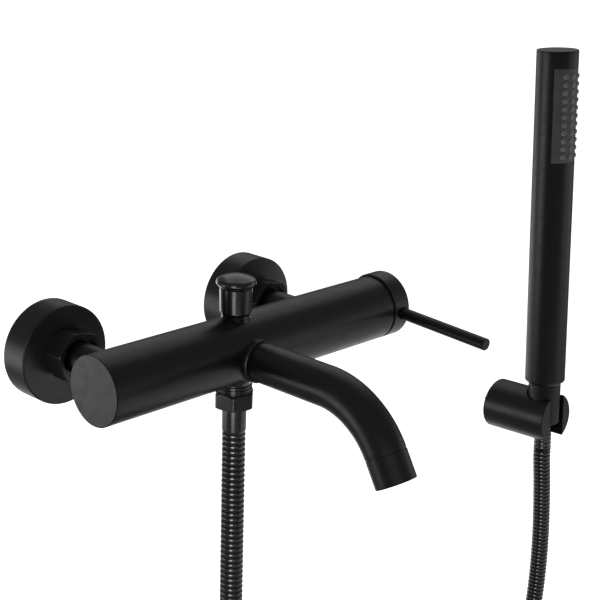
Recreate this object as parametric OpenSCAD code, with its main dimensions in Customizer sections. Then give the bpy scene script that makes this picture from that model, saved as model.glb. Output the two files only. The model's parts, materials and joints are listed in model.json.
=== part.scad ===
// Exposed wall mounted bath mixer with a hose and a hand shower in its wall holder.
// Millimetres. The wall is the plane y = 0, the room is towards -Y, +X runs along the mixer and +Z is up.
// The origin is on the wall, midway between the two supply outlets.

/* [Supply] */
// Distance between the two supply outlets
inlet_spacing = 150; // [144:1:156]
// Outer radius of the 1/2 inch supply thread
wall_thread_r = 10.478; // [10.3:0.001:10.6]
// Height of the mixer's axis above the supply outlets
body_rise = 2.2; // [0:0.1:3]
// Radius of a rosette
rosette_r = 28.9; // [27:0.1:32]
// Depth of a rosette
rosette_depth = 18; // [16:0.5:19]
// Width across the flats of a union nut
union_nut_af = 27; // [26.6:0.1:30]
// Turn of the union nuts about their axis
union_nut_turn = 12; // [0:1:30]
// Radius of an inlet tail
tail_r = 9.25; // [9:0.05:9.6]

/* [Body] */
// Distance from the wall to the body's axis
body_reach = 77.5; // [77:0.05:79]
// Radius of the body
body_r = 19.75; // [19.5:0.05:21]
// Length of the body past the left inlet
left_overhang = 26.8; // [24:0.1:40]
// Thickness of the left end plug's flange
end_plug_flange = 1.6; // [1:0.1:3]

/* [Handle] */
// Radius of the handle cap
cap_r = 20.45; // [20:0.05:22]
// Length of the handle cap along the body
cap_w = 12.7; // [11:0.1:14]
// Gap between the body and the handle cap
cap_gap = 1; // [0.8:0.1:2]
// Height of the handle's axis above the body's axis
handle_rise = 0.7; // [0:0.1:1]
// Radius of the lever pin
lever_r = 3.75; // [3:0.1:4]
// Distance from the body's axis to the tip of the lever pin
lever_reach = 85.1; // [60:0.1:100]
// Angle of the lever pin below level at the stored mixing position
lever_droop = 3.3; // [-40:0.1:40]
// Angle by which the lever pin swings out to open the water
lever_swing = 10; // [6:1:12]

/* [Diverter] */
// Radius of the knob's cap
knob_cap_r = 11.5; // [10:0.1:13]
// Radius of the knob's barrel
knob_barrel_r = 9.4; // [8.5:0.1:10]
// Height of the knob's top above the supply outlets
knob_top = 46.6; // [43:0.1:50]
// Travel of the knob
knob_travel = 7; // [5:0.5:7]

/* [Spout] */
// Radius of the spout
spout_r = 11.6; // [10:0.1:12]
// Distance from the wall to the start of the spout's bend
spout_straight_reach = 148.5; // [130:0.5:180]
// Radius of the spout's bend at its centre line
spout_bend_r = 51; // [40:1:60]
// Angle of the spout's bend
spout_bend = 60; // [50:1:90]
// Length of the straight collar at the spout's tip
collar_len = 16.5; // [12:0.5:20]

/* [Hose connection] */
// Width across the flats of the hose nut
hose_nut_af = 21.4; // [20:0.1:24]
// Outer diameter of the hose
hose_d = 14; // [13:0.5:16]
// Radius of the crimped ferrule
ferrule_r = 7.2; // [7:0.1:8]

/* [Hand shower] */
// Distance of the holder to the right of the mixer's middle
holder_x = 375.6; // [340:0.1:420]
// Depth of the holder's axis below the supply outlets
holder_drop = 153.2; // [140:0.1:170]
// Radius of the holder
holder_r = 19.9; // [19:0.1:22]
// Length of the holder from the wall
holder_len = 56.9; // [56:0.1:60]
// Radius of the hand shower's tube
stick_r = 15.8; // [15:0.1:17]
// Lean of the hand shower towards the wall, and rise of the holder that carries it
stick_lean = 2.5; // [0:0.1:4]
// Lean of the hand shower towards the mixer
stick_side_lean = 0.8; // [0:0.1:2]
// Turn of the hand shower about its own axis, towards the mixer
stick_turn = 5.8; // [0:0.1:20]
// Rows of nozzles along the plate
nozzle_rows = 11; // [8:1:12]
// Nozzles in each row
nozzle_columns = 3; // [3:1:4]

/* [Hidden] */

matt_black = [0.11, 0.11, 0.12];
gloss_black = [0.05, 0.05, 0.055];
rubber_black = [0.07, 0.07, 0.07];
silicone_grey = [0.5, 0.51, 0.52];
brass = [0.78, 0.62, 0.3];
steel = [0.72, 0.73, 0.75];
ceramic_white = [0.9, 0.9, 0.88];
cartridge_grey = [0.6, 0.62, 0.64];

side_left = -1;
side_right = 1;
inlet_x = inlet_spacing / 2;
body_left = -inlet_x - left_overhang;
body_right = 117.1;
slip = 0.05;
beyond = 30;

// Wall unions, measured as distances from the wall
union_thread_len = 12;
union_thread_start = 2;
union_room_end = -24.2;
union_room_r = 11.4;
nut_front = -32.6;
nut_lip_back = -27.9;
tail_collar_back = -26.1;
gasket_front = -26.1;

// Inlet tails and check valves, measured from the body's axis towards the wall
tail_root = 14.2;
tail_seat = 17.2;
tail_thread_r = 8;
tail_end = body_reach + tail_collar_back;
tail_collar_front = body_reach + nut_lip_back;
check_bore_r = 7.4;
check_bore_start = 27;
check_cage_from = 30;
check_cage_to = 48;
check_seat = 46;
poppet_r = 5.4;

// Cartridge, measured along the body from its middle
seat_floor = 85;
seat_r = 14.2;
cartridge_back = 86.2;
cartridge_r = 13.9;
disc_back = 89;
moving_back = 92.55;
driver_back = 96.5;
rotor_back = 100.2;
rotor_front = 114.2;
pivot_x = 112;
ball_x = 98.9;
ball_r = 2.2;
nut_ring_back = 108;
cap_back = body_right + cap_gap;
cap_front = cap_back + cap_w;
lever_x = 125;

// Diverter, measured from the body's axis upwards
lower_seat = -14;
chamber_r = 7.5;
plunger_foot = -13.95;
bonnet_foot = plunger_foot + 3.2 + knob_travel + 0.75;
knob_foot = 21.3;
knob_split = 36.9;
stem_r = 2.5;

// Hose connection, measured from the supply outlets upwards
hose_nut_top = -23.4;
hose_nut_foot = -32.5;
ferrule_foot = -48.5;

// Hand shower, measured along its own axis from the holder's centre
hose_end_foot = -26.5;
cone_foot = -3;
cone_top = 28.5;
cone_foot_r = 12.55;
cone_top_r = 12.75;
stick_foot = 31.8;
stick_top = 293.2;
plate_top = stick_top - 12.65;
plate_foot = stick_top - 83.8;
plate_half_angle = 58.3;
nozzle_pitch = 6;
nozzle_middle = (plate_top + plate_foot) / 2 - 0.5;
stick_axis_y = -44.5;
stick_shift_x = 0.9;

// Hose route, hung from both ends with one coil on the mixer's side
coil_r = 84;
coil_middle = [coil_r, -352];
coil_turns = 1.25;
coil_first_y = -77.5;
lower_route = [
    [0, -77.5, -48.5], [0, -77.5, -70], [0, -77.5, -100], [0, -77.5, -130], [0, -77.5, -160],
    [0, -77.5, -190], [0, -77.5, -220], [0, -77.5, -250], [0, -77.5, -280], [0, -77.5, -310],
    [0, -77.5, -335], [0, -77.5, -352]];
upper_route = [
    [84, -60, -436], [100, -60, -436], [120, -59.6, -437], [145, -59.1, -439], [170, -58.5, -441],
    [195, -57.8, -442.5], [220, -57, -442.5], [245, -56, -440.8], [270, -55, -436.5], [294, -54, -429.5],
    [316, -53, -419.5], [336, -52, -405.5], [353, -51, -387.5], [366, -50.2, -366], [375, -49.5, -342],
    [380, -49, -317], [382, -48.7, -290], [382, -48.4, -263], [380.6, -47.9, -236],
    [378.5, -47, -208], [377, -46.1, -190.1], [376.9, -45.7, -180.1]];

// A straight round bar between two places on one of the frame's axes
module bar_x(from, to, r) {
    translate([from, 0, 0])
        rotate([0, 90, 0])
            cylinder(h = to - from, r = r, $fn = 96);
}

module bar_y(from, to, r) {
    translate([0, from, 0])
        rotate([-90, 0, 0])
            cylinder(h = to - from, r = r, $fn = 96);
}

module bar_z(from, to, r, top_r = undef) {
    translate([0, 0, from])
        cylinder(h = to - from, r1 = r, r2 = is_undef(top_r) ? r : top_r, $fn = 96);
}

// A hexagon bar along +Z, by its width across the flats
module hex_z(from, to, af) {
    translate([0, 0, from])
        cylinder(h = to - from, r = af / 2 / cos(30), $fn = 6);
}

// A body of revolution about an axis along X or Y, from [distance, radius] points of its outline
module turned_x(outline) {
    rotate([0, 90, 0])
        rotate_extrude($fn = 128)
            polygon([for (p = outline) [p[1], p[0]]]);
}

module turned_y(outline) {
    rotate([-90, 0, 0])
        rotate_extrude($fn = 128)
            polygon([for (p = outline) [p[1], p[0]]]);
}

module turned_z(outline) {
    rotate_extrude($fn = 128)
        polygon([for (p = outline) [p[1], p[0]]]);
}

// Places of the assemblies
module at_body() {
    translate([0, -body_reach, body_rise])
        children();
}

module at_cartridge() {
    translate([0, -body_reach, body_rise + handle_rise])
        children();
}

module at_lever() {
    at_cartridge()
        rotate([lever_droop, 0, 0])
            children();
}

module at_inlet(side) {
    translate([side * inlet_x, 0, 0])
        children();
}

module at_tail(side) {
    translate([side * inlet_x, -body_reach, body_rise])
        children();
}

module at_stick() {
    translate([holder_x + stick_shift_x, stick_axis_y, -holder_drop])
        rotate([-stick_lean, -stick_side_lean, 0])
            children();
}

// A tube swept along points, whose rings turn about the tangent and a steady side direction
function unit(v) = v / norm(v);
function tangent(path, i) =
    unit(path[min(i + 1, len(path) - 1)] - path[max(i - 1, 0)]);
function ring(path, i, r, sides, steady) =
    let (t = tangent(path, i), n = unit(cross(t, steady)), b = cross(t, n))
        [for (k = [0 : sides - 1])
            path[i] + r * (cos(360 * k / sides) * n + sin(360 * k / sides) * b)];

module sweep(path, r, sides, steady) {
    rings = len(path);
    points = [for (i = [0 : rings - 1]) each ring(path, i, r, sides, steady)];
    walls = [for (i = [0 : rings - 2]) for (k = [0 : sides - 1])
        let (a = i * sides + k, b = i * sides + (k + 1) % sides)
            each [[a, a + sides, b + sides], [a, b + sides, b]]];
    first_cap = [[for (k = [0 : sides - 1]) k]];
    last_cap = [[for (k = [0 : sides - 1]) rings * sides - 1 - k]];
    polyhedron(points = points, faces = concat(first_cap, walls, last_cap), convexity = 8);
}

// A helical spring along +Z
module spring_z(from, to, r, wire_r, turns) {
    steps = turns * 12;
    path = [for (i = [0 : steps])
        [r * cos(30 * i), r * sin(30 * i), from + wire_r + (to - from - 2 * wire_r) * i / steps]];
    sweep(path, wire_r, 6, [0, 0, 1]);
}

// Passages cast and drilled in the body: hot goes round the diverter, cold and mixed go straight
module passage_x(from, to, y, z, r) {
    translate([0, y, z])
        bar_x(from, to, r);
}

module passage_z(x, y, from, to, r) {
    translate([x, y, 0])
        bar_z(from, to, r);
}

module hot_passage() {
    jog_x = 55;
    passage_x(body_left + 10, jog_x + 3, 12.5, 0, 3.2);
    passage_z(jog_x, 9.5, handle_rise - 8.5, 0, 3);
    passage_x(jog_x - 3, seat_floor + 1, 6.5, handle_rise - 8.5, 3);
    translate([-inlet_x, 0, 0])
        bar_y(10, tail_root + 1, 4.5);
}

module cold_passage() {
    passage_x(inlet_x - 3, seat_floor + 1, 6.5, handle_rise + 5, 3);
    translate([inlet_x, 0, 0])
        bar_y(4, tail_root + 1, 4.5);
}

module mixed_passage() {
    passage_x(0, seat_floor + 1, -7, handle_rise - 8, 3);
}

module diverter_chamber() {
    bar_z(-16, -13, 4.5);
    bar_z(lower_seat, 14, chamber_r);
    bar_z(13, beyond, 8.55);
}

module valve_body() {
    ease = 0.4;
    color(matt_black)
        at_body()
            difference() {
                turned_x([
                    [body_left + end_plug_flange, 0], [body_left + end_plug_flange, body_r],
                    [body_right - ease, body_r], [body_right, body_r - ease], [body_right, 0]]);
                bar_x(body_left, body_left + 11, 14.55);
                hot_passage();
                cold_passage();
                mixed_passage();
                diverter_chamber();
                translate([0, 0, handle_rise]) {
                    bar_x(seat_floor, body_right + 1, seat_r);
                    bar_x(nut_ring_back - 1, body_right + 1, 17.1);
                    bar_x(body_right - 1.6, body_right + 1, 18.5);
                }
                for (side = [side_left, side_right])
                    translate([side * inlet_x, 0, 0]) {
                        bar_y(tail_root, beyond, tail_thread_r + slip);
                        bar_y(tail_seat, beyond, tail_r + slip);
                    }
                translate([0, 0, -body_rise]) {
                    bar_y(-beyond, -13, 8.05);
                    bar_y(-14, -5, 3.2);
                }
                bar_z(-beyond, -15.4, 8.05);
            }
}

module end_plug() {
    ease = 0.6;
    color(matt_black)
        at_body()
            turned_x([
                [body_left, 0], [body_left, body_r - ease], [body_left + ease, body_r],
                [body_left + end_plug_flange, body_r], [body_left + end_plug_flange, 14.5],
                [body_left + 9, 14.5], [body_left + 9, 12], [body_left + 4, 12],
                [body_left + 4, 0]]);
}

// Rosette: a shallow cup over the wall opening, its hole on the mixer's axis
module rosette(side) {
    wall = 1.6;
    edge = 1.4;
    color(matt_black)
        at_inlet(side)
            difference() {
                turned_y([
                    [-rosette_depth, 0], [-rosette_depth, rosette_r - edge],
                    [-rosette_depth + 0.4 * edge, rosette_r - 0.4 * edge],
                    [-rosette_depth + edge, rosette_r], [0, rosette_r],
                    [0, rosette_r - wall], [-rosette_depth + wall + 1, rosette_r - wall],
                    [-rosette_depth + wall, rosette_r - wall - 1], [-rosette_depth + wall, 0]]);
                translate([0, 0, body_rise])
                    bar_y(-beyond, 0, union_room_r + 0.3);
            }
}

module rosette_left() {
    rosette(side_left);
}

module rosette_right() {
    rosette(side_right);
}

module rosette_seals() {
    color(rubber_black)
        for (side = [side_left, side_right])
            at_inlet(side)
                difference() {
                    bar_y(-2.5, 0, 27.2);
                    bar_y(-3, 1, 24.4);
                }
}

// Eccentric union: 1/2 inch thread into the wall, larger thread for the nut on the mixer's axis
module wall_union(side) {
    pitch = 1.8;
    groove = 0.5;
    room_thread = [for (i = [0 : 6]) each [
        [union_room_end + 0.8 + i * pitch, union_room_r],
        [union_room_end + 0.8 + (i + 0.5) * pitch, union_room_r - groove]]];
    color(brass)
        at_inlet(side)
            difference() {
                union() {
                    bar_y(union_thread_start, union_thread_len + union_thread_start, wall_thread_r);
                    bar_y(-9, union_thread_start, 10);
                    bar_y(-13, -9, 14.5);
                    translate([0, 0, body_rise])
                        turned_y(concat(
                            [[union_room_end, 0], [union_room_end, union_room_r - groove]],
                            room_thread,
                            [[-11, union_room_r], [-11, 0]]));
                }
                bar_y(-10, beyond, 6.5);
                translate([0, 0, body_rise])
                    bar_y(-beyond, -8, 6.5);
            }
}

module wall_union_left() {
    wall_union(side_left);
}

module wall_union_right() {
    wall_union(side_right);
}

module union_gaskets() {
    color(rubber_black)
        for (side = [side_left, side_right])
            at_inlet(side)
                translate([0, 0, body_rise])
                    difference() {
                        bar_y(gasket_front, union_room_end, 10.9);
                        bar_y(gasket_front - 1, union_room_end + 1, 7);
                    }
}

// Union nut: hexagon with a rounded foot and an open mouth that leaves a dark ring round the tail
module union_nut(side) {
    corner_r = union_nut_af / 2 / cos(30);
    color(matt_black)
        at_inlet(side)
            translate([0, 0, body_rise])
                difference() {
                    intersection() {
                        rotate([-90, 0, 0])
                            rotate([0, 0, union_nut_turn])
                                hex_z(nut_front, -rosette_depth, union_nut_af);
                        turned_y([
                            [nut_front, 0], [nut_front, corner_r - 1],
                            [nut_front + 0.7, corner_r + 0.1], [-rosette_depth - 3, corner_r + 0.1],
                            [-rosette_depth, corner_r - 1.6], [-rosette_depth, 0]]);
                    }
                    bar_y(nut_lip_back, beyond, union_room_r + slip);
                    bar_y(-beyond - 10, beyond, tail_r + 0.3);
                    bar_y(-beyond - 10, nut_lip_back - 2, 11.7);
                }
}

module union_nut_left() {
    union_nut(side_left);
}

module union_nut_right() {
    union_nut(side_right);
}

// Inlet tail: screwed into the body, with the collar that the union nut draws up
module inlet_tail(side) {
    color(matt_black)
        at_tail(side)
            difference() {
                union() {
                    bar_y(tail_root, tail_seat + 1, tail_thread_r);
                    bar_y(tail_seat, tail_collar_front, tail_r);
                    bar_y(tail_collar_front, tail_end, 11.2);
                }
                bar_y(tail_root - 1, check_bore_start + 1, 5);
                bar_y(check_bore_start, tail_end + 1, check_bore_r);
            }
}

module inlet_tail_left() {
    inlet_tail(side_left);
}

module inlet_tail_right() {
    inlet_tail(side_right);
}

module check_valve_cages() {
    color(cartridge_grey)
        for (side = [side_left, side_right])
            at_tail(side)
                difference() {
                    bar_y(check_cage_from, check_cage_to, check_bore_r - slip);
                    bar_y(check_cage_from + 2, check_seat, 6.2);
                    bar_y(check_seat - 1, check_cage_to + 1, 4.4);
                    bar_y(check_cage_from - 1, check_cage_from + 3, 1.56);
                    for (turn = [0 : 60 : 300])
                        rotate([0, turn, 0])
                            translate([4.1, 0, 0])
                                bar_y(check_cage_from - 1, check_cage_from + 3, 1.4);
                }
}

module check_poppet(side) {
    color(steel)
        at_tail(side) {
            bar_y(28.6, 43.5, 1.5);
            turned_y([[43.2, 0], [43.2, poppet_r], [44.8, poppet_r], [45.95, poppet_r - 0.8], [45.95, 0]]);
        }
}

module check_poppet_left() {
    check_poppet(side_left);
}

module check_poppet_right() {
    check_poppet(side_right);
}

module check_spring(side) {
    color(steel)
        at_tail(side)
            rotate([-90, 0, 0])
                spring_z(check_cage_from + 2.05, 43.15, 3.4, 0.4, 5);
}

module check_spring_left() {
    check_spring(side_left);
}

module check_spring_right() {
    check_spring(side_right);
}

// Mixing cartridge
module at_ports() {
    for (port = [[6.5, -8.5], [6.5, 5], [-7, -8]])
        translate([0, port[0], port[1]])
            children();
}

module cartridge_seals() {
    color(rubber_black)
        at_cartridge()
            at_ports()
                difference() {
                    bar_x(seat_floor, cartridge_back, 3.4);
                    bar_x(seat_floor - 1, cartridge_back + 1, 2.6);
                }
}

module cartridge_housing() {
    color(cartridge_grey)
        at_cartridge()
            difference() {
                union() {
                    bar_x(cartridge_back, nut_ring_back, cartridge_r);
                    bar_x(nut_ring_back - 1, 113.5, 10.8);
                }
                bar_x(disc_back, 106, 12.1);
                bar_x(105, 115, 8.7);
                at_ports()
                    bar_x(cartridge_back - 1, disc_back + 1, 2.6);
            }
}

module fixed_disc() {
    color(ceramic_white)
        at_cartridge()
            difference() {
                bar_x(disc_back, moving_back - slip, 12);
                at_ports()
                    bar_x(disc_back - 1, moving_back + 1, 2.4);
            }
}

module moving_disc() {
    color(ceramic_white)
        at_lever()
            difference() {
                bar_x(moving_back, driver_back, 9);
                translate([0, -1, 0])
                    bar_x(moving_back - 1, moving_back + 1.8, 6.5);
            }
}

module disc_driver() {
    color(cartridge_grey)
        at_lever()
            difference() {
                bar_x(driver_back, rotor_back - 0.2, 9);
                bar_x(driver_back - 1, rotor_back, ball_r + 0.2);
            }
}

module spindle_rotor() {
    color(cartridge_grey)
        at_lever()
            difference() {
                union() {
                    bar_x(rotor_back, 104, 11.9);
                    bar_x(103, rotor_front, 8.62);
                }
                translate([rotor_back - 1, -5.4, -3.55])
                    cube([rotor_front - rotor_back + 2, 9.6, 7.1]);
                translate([pivot_x, 0, 0])
                    bar_z(-9, 9, 1.2);
            }
}

module spindle_pin() {
    color(steel)
        at_lever()
            translate([pivot_x, 0, 0])
                bar_z(-8.3, 8.3, 1.2);
}

// Spindle: a ball that drives the disc, a flat pivoting on the pin and a square for the handle
module spindle() {
    color(brass)
        at_lever()
            difference() {
                union() {
                    translate([ball_x, 0, 0])
                        rotate([0, 90, 0])
                            sphere(r = ball_r, $fn = 48);
                    bar_x(ball_x, 107, 1.9);
                    translate([106, -3, -3.45])
                        cube([10, 6, 6.9]);
                    translate([115.3, -4, -4])
                        cube([11.7, 8, 8]);
                }
                translate([pivot_x, 0, 0])
                    bar_z(-9, 9, 1.25);
            }
}

module cartridge_nut() {
    color(brass)
        at_cartridge()
            difference() {
                bar_x(nut_ring_back, 115.3, 17);
                bar_x(nut_ring_back - 1, 117, 11);
                for (turn = [0 : 90 : 270])
                    rotate([turn, 0, 0])
                        translate([113, -1.5, 12.5])
                            cube([4, 3, 6]);
            }
}

module trim_ring() {
    color(rubber_black)
        at_cartridge()
            difference() {
                bar_x(body_right - 1.6, body_right - 0.1, 18.4);
                bar_x(body_right - 3, body_right + 1, 12.5);
            }
}

// Handle cap: its wall side is cut back at a slant, so that it clears the body when the lever swings out
module handle_cap() {
    ease = 0.7;
    boss_r = 7.4;
    color(matt_black)
        at_lever()
            difference() {
                turned_x([
                    [cap_back, 0], [cap_back, boss_r], [127.4, boss_r + 1.2], [127.4, 16.6],
                    [126.4, 17.6], [cap_back, 17.6], [cap_back, cap_r - ease],
                    [cap_back + ease, cap_r], [cap_front - ease, cap_r],
                    [cap_front, cap_r - ease], [cap_front, 0]]);
                translate([cap_back - 1, -4.02, -4.02])
                    cube([127.05 - cap_back + 1, 8.04, 8.04]);
                translate([lever_x, 0, 0]) {
                    bar_y(-beyond, -19, lever_r + 0.35);
                    bar_y(-beyond, 0, 2.5);
                    bar_y(0, beyond, 2.5);
                }
                translate([pivot_x, 0, 0])
                    rotate([0, 0, -lever_swing])
                        translate([-40, -40, -40])
                            cube([40 + body_right + 0.5 - pivot_x, 80, 80]);
            }
}

module lever_pin() {
    ease = 0.5;
    color(matt_black)
        at_lever()
            translate([lever_x, 0, 0])
                turned_y([
                    [-lever_reach, 0], [-lever_reach, lever_r - ease], [-lever_reach + ease, lever_r],
                    [-19, lever_r], [-19, 2.5], [-4.02, 2.5], [-4.02, 0]]);
}

module handle_set_screw() {
    color(steel)
        at_lever()
            translate([lever_x, 0, 0])
                difference() {
                    bar_y(4.02, 12, 2.5);
                    rotate([-90, 0, 0])
                        hex_z(8.5, 13, 2.5);
                }
}

// Diverter
module diverter_bonnet() {
    color(gloss_black)
        at_body()
            difference() {
                union() {
                    bar_z(bonnet_foot, 14, chamber_r - slip);
                    bar_z(13, 19.4, 8.5);
                    bar_z(19.4, knob_foot - 0.3, 8.1);
                }
                bar_z(bonnet_foot - 1, 9, 5);
                bar_z(8, beyond, stem_r + 0.06);
                translate([0, 0, -body_rise + 1.6])
                    bar_y(-9, 0, 3.2);
            }
}

module diverter_stem() {
    color(steel)
        at_body()
            bar_z(plunger_foot + 1.5, knob_split - 3, stem_r);
}

module diverter_plunger() {
    color(brass)
        at_body()
            difference() {
                bar_z(plunger_foot + 1, plunger_foot + 2.2, 6.6);
                bar_z(plunger_foot + 1.5, plunger_foot + 3, stem_r + 0.001);
            }
}

module plunger_seals() {
    color(rubber_black)
        at_body() {
            bar_z(plunger_foot, plunger_foot + 1, 6.3);
            difference() {
                bar_z(plunger_foot + 2.2, plunger_foot + 3.2, 6.3);
                bar_z(plunger_foot + 2, plunger_foot + 4, 5.1);
            }
        }
}

module diverter_spring() {
    color(steel)
        at_body()
            spring_z(plunger_foot + 2.25, 8.95, 3.7, 0.45, 7);
}

module knob_barrel() {
    color(gloss_black)
        at_body()
            difference() {
                turned_z([
                    [knob_foot, 0], [knob_foot, knob_barrel_r - 1.2],
                    [knob_foot + 1.2, knob_barrel_r - 0.3], [knob_split - 0.5, knob_barrel_r],
                    [knob_split, knob_barrel_r - 0.4], [knob_split, 0]]);
                bar_z(knob_foot - 1, knob_split - 3, stem_r);
            }
}

module knob_cap() {
    widest = knob_split + 2.9;
    dome = knob_top - body_rise - widest;
    below = [for (t = [-40 : 8 : 0]) [widest + 4.5 * sin(t), knob_cap_r * cos(t)]];
    above = [for (t = [9 : 9 : 90]) [widest + dome * sin(t), knob_cap_r * cos(t)]];
    color(gloss_black)
        at_body()
            turned_z(concat([[knob_split, 0]], below, above));
}

// Spout
module at_spout_tip() {
    translate([0, -spout_straight_reach, -spout_bend_r])
        rotate([spout_bend, 0, 0])
            translate([0, 0, spout_bend_r])
                children();
}

module spout_flange() {
    flange_front = -body_reach - body_r - 1.9;
    color(matt_black)
        difference() {
            turned_y([
                [flange_front, 0], [flange_front, spout_r + 0.5], [flange_front + 0.5, spout_r + 1],
                [-body_reach - 14, spout_r + 1], [-body_reach - 14, 0]]);
            bar_y(-body_reach - beyond, -body_reach, 8.1);
            bar_y(-body_reach - beyond, flange_front + 1, spout_r + slip);
            at_body()
                bar_x(-beyond, beyond, body_r);
        }
}

module spout_tube() {
    bore = spout_r - 1.6;
    start = -body_reach - body_r - 0.9;
    color(matt_black)
        union() {
            difference() {
                union() {
                    bar_y(-spout_straight_reach, start, spout_r);
                    bar_y(start - 1, -body_reach - 13, 8);
                }
                bar_y(-spout_straight_reach - 1, start - 4, bore);
                bar_y(-spout_straight_reach - 1, -body_reach - 5, 5.5);
            }
            translate([0, -spout_straight_reach, -spout_bend_r])
                rotate([0, -90, 180])
                    rotate_extrude(angle = spout_bend, $fn = 128)
                        translate([spout_bend_r, 0])
                            difference() {
                                circle(r = spout_r, $fn = 96);
                                circle(r = bore, $fn = 96);
                            }
        }
}

module aerator_housing() {
    groove = 0.35;
    color(matt_black)
        at_spout_tip()
            difference() {
                turned_y([
                    [-collar_len, 0], [-collar_len, spout_r - 0.8], [-collar_len + 0.8, spout_r],
                    [-groove - 0.3, spout_r], [-groove, spout_r - groove], [0, spout_r - groove],
                    [0, 0]]);
                bar_y(-collar_len - 1, -4, 9.6);
                bar_y(-5, 1, 8.2);
            }
}

module aerator_insert() {
    color(cartridge_grey)
        at_spout_tip()
            difference() {
                bar_y(-collar_len + 1.2, -4, 9.6 - slip);
                for (reach = [0, 3, 6])
                    for (turn = [0 : (reach == 0 ? 360 : 180 / reach) : 359])
                        rotate([0, turn, 0])
                            translate([reach + (reach == 6 ? 0.6 : 0), 0, 0])
                                bar_y(-collar_len, -3, 0.95);
            }
}

// Hose connection under the body
module outlet_nipple() {
    ribs = 3;
    top = 4 - body_r;
    pitch = 2;
    color(gloss_black)
        translate([0, -body_reach, 0])
            difference() {
                union() {
                    intersection() {
                        turned_z(concat(
                            [[hose_nut_foot + 2.4, 0], [hose_nut_foot + 2.4, 8.6], [hose_nut_top, 8.6],
                                [hose_nut_top, 9.6]],
                            [for (i = [0 : ribs - 1]) each [
                                [hose_nut_top + 0.4 + i * pitch, 10.5],
                                [hose_nut_top + 1.4 + i * pitch, 9.7]]],
                            [[hose_nut_top + 1.4 + ribs * pitch, 10.3], [top + 2, 10.3], [top + 2, 0]]));
                        difference() {
                            translate([-beyond, -beyond, -60])
                                cube([2 * beyond, 2 * beyond, 60]);
                            translate([0, 0, body_rise])
                                bar_x(-beyond, beyond, body_r);
                        }
                    }
                    bar_z(-18, body_rise - 15.45, 8);
                }
                bar_z(-40, 0, 5);
            }
}

module hose_washer_lower() {
    color(rubber_black)
        translate([0, -body_reach, 0])
            difference() {
                bar_z(hose_nut_foot + 0.9, hose_nut_foot + 2.4, 8.4);
                bar_z(-40, 0, 5);
            }
}

module hose_nut() {
    corner_r = hose_nut_af / 2 / cos(30);
    color(gloss_black)
        translate([0, -body_reach, 0])
            difference() {
                intersection() {
                    rotate([0, 0, 43.5])
                        hex_z(hose_nut_foot, hose_nut_top, hose_nut_af);
                    turned_z([
                        [hose_nut_foot, 0], [hose_nut_foot, corner_r - 0.9],
                        [hose_nut_foot + 0.7, corner_r + 0.1], [hose_nut_top - 0.9, corner_r + 0.1],
                        [hose_nut_top, corner_r - 1.2], [hose_nut_top, 0]]);
                }
                bar_z(hose_nut_foot + 0.9, -10, 8.65);
                bar_z(-40, -10, ferrule_r - 1);
            }
}

module hose_ferrule() {
    color(gloss_black)
        translate([0, -body_reach, 0])
            difference() {
                turned_z([
                    [ferrule_foot, 0], [ferrule_foot, ferrule_r - 0.5], [ferrule_foot + 0.6, ferrule_r],
                    [hose_nut_foot, ferrule_r], [hose_nut_foot, ferrule_r - 1.05],
                    [hose_nut_foot + 0.9, ferrule_r - 1.05], [hose_nut_foot + 0.9, 0]]);
                bar_z(-60, -20, 4);
            }
}

// Hose
module hose_lower_run() {
    color(gloss_black)
        sweep(lower_route, hose_d / 2, 10, [0, 1, 0]);
}

module hose_upper_run() {
    color(gloss_black)
        sweep(upper_route, hose_d / 2, 10, [0, 1, 0]);
}

module hose_coil() {
    strand = hose_d / 2;
    color(gloss_black)
        translate([coil_middle[0], coil_first_y, coil_middle[1]])
            rotate([-90, 0, 0])
                rotate_extrude($fn = 96)
                    translate([coil_r, 0]) {
                        circle(r = strand, $fn = 32);
                        translate([0, hose_d * coil_turns])
                            circle(r = strand, $fn = 32);
                        translate([-strand, 0])
                            square([hose_d, hose_d * coil_turns]);
                    }
}

module hose_tie() {
    color(rubber_black)
        translate([coil_middle[0], coil_first_y + hose_d * coil_turns / 2, coil_middle[1]])
            rotate([0, -45, 0])
                translate([-coil_r, 0, 0])
                    difference() {
                        cube([hose_d + 3, hose_d * (coil_turns + 1) + 3, 12], center = true);
                        cube([hose_d + 0.6, hose_d * (coil_turns + 1) + 0.6, 13], center = true);
                    }
}

// Hand shower: the hose ends in a swivel fitting that the cone nut holds
module hose_end_fitting() {
    color(gloss_black)
        at_stick()
            difference() {
                union() {
                    bar_z(hose_end_foot, 12, 7.3);
                    bar_z(12, 15, 8.2);
                }
                bar_z(-40, 20, 4);
            }
}

module cone_nut() {
    color(matt_black)
        at_stick()
            difference() {
                turned_z([
                    [cone_foot, 0], [cone_foot, cone_foot_r - 0.5], [cone_foot + 0.5, cone_foot_r],
                    [cone_top, cone_top_r], [cone_top + 1.5, cone_top_r - 0.4], [cone_top + 1.5, 0]]);
                bar_z(cone_foot - 1, 12, 7.35);
                bar_z(11.9, 17, 8.3);
                bar_z(15.8, cone_top + 2, 10.53);
            }
}

module hose_washer_upper() {
    color(rubber_black)
        at_stick()
            difference() {
                bar_z(16.3, 18, 8.2);
                bar_z(15, 19, 5);
            }
}

module inlet_plug() {
    color(matt_black)
        at_stick()
            difference() {
                union() {
                    bar_z(18, cone_top + 3, wall_thread_r);
                    turned_z([
                        [cone_top + 1.55, 0], [cone_top + 1.55, 12.6], [stick_foot, 14],
                        [stick_foot, stick_r - 1.85], [stick_foot + 8, stick_r - 1.85],
                        [stick_foot + 8, 0]]);
                }
                bar_z(10, stick_foot + 10, 5.5);
            }
}

// A sector of a ring about the stick's axis, centred on the room side
module stick_sector(r_in, r_out, from, to, half_angle) {
    rotate([0, 0, -90 - half_angle])
        rotate_extrude(angle = 2 * half_angle, $fn = 128)
            translate([r_in, from])
                square([r_out - r_in, to - from]);
}

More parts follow.
